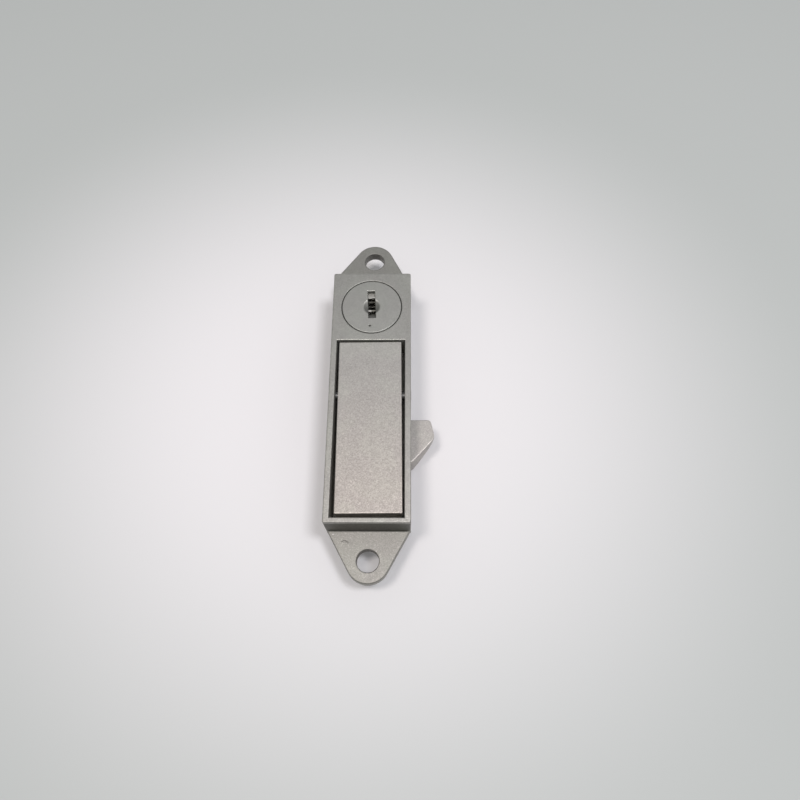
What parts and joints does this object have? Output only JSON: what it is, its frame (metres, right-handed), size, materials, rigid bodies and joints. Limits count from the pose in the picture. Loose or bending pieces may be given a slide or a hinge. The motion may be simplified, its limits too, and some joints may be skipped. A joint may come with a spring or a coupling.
{
  "type": "electrical cabinet lock",
  "caption": "Flush paddle lock for an electrical cabinet: cast body with a mounting ear at each end, a key cylinder, a press-and-pull paddle and a hooked side latch.",
  "frame": {"origin": "midway between the two mounting holes, on the front plane of the ears", "axes": "+Z out of the front face, +Y to the key end, +X to the side that the latch leaves"},
  "size_m": [0.0322, 0.1156, 0.023],
  "materials": {
    "housing_zinc": "raw zinc die casting, fine matte grain",
    "paddle_zinc": "raw zinc die casting, fine matte grain",
    "latch_zinc": "raw zinc die casting, fine matte grain",
    "plug_zinc": "raw zinc die casting, fine matte grain, faced on its front",
    "cover_steel": "zinc-plated sheet, dull",
    "slide_steel": "stamped sheet, zinc-plated",
    "screw_steel": "zinc-plated, bright",
    "pin_steel": "turned steel",
    "spring_steel": "drawn wire, oiled",
    "wafer_nickel": "stamped nickel silver"
  },
  "bodies": {
    "root": {"housing": "housing_zinc", "back_cover": "cover_steel", "cover_screws": "screw_steel", "paddle_pin": "pin_steel", "slide_rivets": "pin_steel", "latch_pin": "pin_steel", "paddle_spring": "spring_steel", "latch_spring": "spring_steel"},
    "paddle": {"paddle": "paddle_zinc"},
    "slide": {"release_slide": "slide_steel"},
    "latch": {"latch_hook": "latch_zinc"},
    "plug": {"lock_plug": "plug_zinc", "plug_ring": "spring_steel", "locking_cam": "slide_steel", "cam_washer": "screw_steel", "cam_screw": "screw_steel", "wafer_springs": "spring_steel", "wafer_1": "wafer_nickel", "wafer_2": "wafer_nickel", "wafer_3": "wafer_nickel", "wafer_4": "wafer_nickel", "wafer_5": "wafer_nickel"}
  },
  "joints": [
    {"name": "paddle_tilt", "type": "hinge", "parent": "root", "child": "paddle", "pos_m": [0, -0.0021, 0.006], "axis": [-1, 0, 0], "range_deg": [0, 18], "stiffness_Nm_per_rad": 0.05, "springref_deg": -17.19, "deforming": ["paddle_spring"]},
    {"name": "slide_travel", "type": "slide", "parent": "root", "child": "slide", "axis": [0, -1, 0], "range_m": [0, 0.00386]},
    {"name": "latch_swing", "type": "hinge", "parent": "root", "child": "latch", "pos_m": [0.0055, -0.03, -0.001], "axis": [0, 0, 1], "range_deg": [0, 24], "stiffness_Nm_per_rad": 0.03, "springref_deg": -17.19, "deforming": ["latch_spring"]},
    {"name": "plug_turn", "type": "hinge", "parent": "root", "child": "plug", "pos_m": [0, 0.02715, 0.0104], "axis": [0, 0, -1], "range_deg": [0, 90]}
  ],
  "couplings": [
    {"joint": "slide_travel", "follows": "paddle_tilt", "m_per_rad": 0.012295},
    {"joint": "latch_swing", "follows": "paddle_tilt", "ratio": 1.3333}
  ]
}
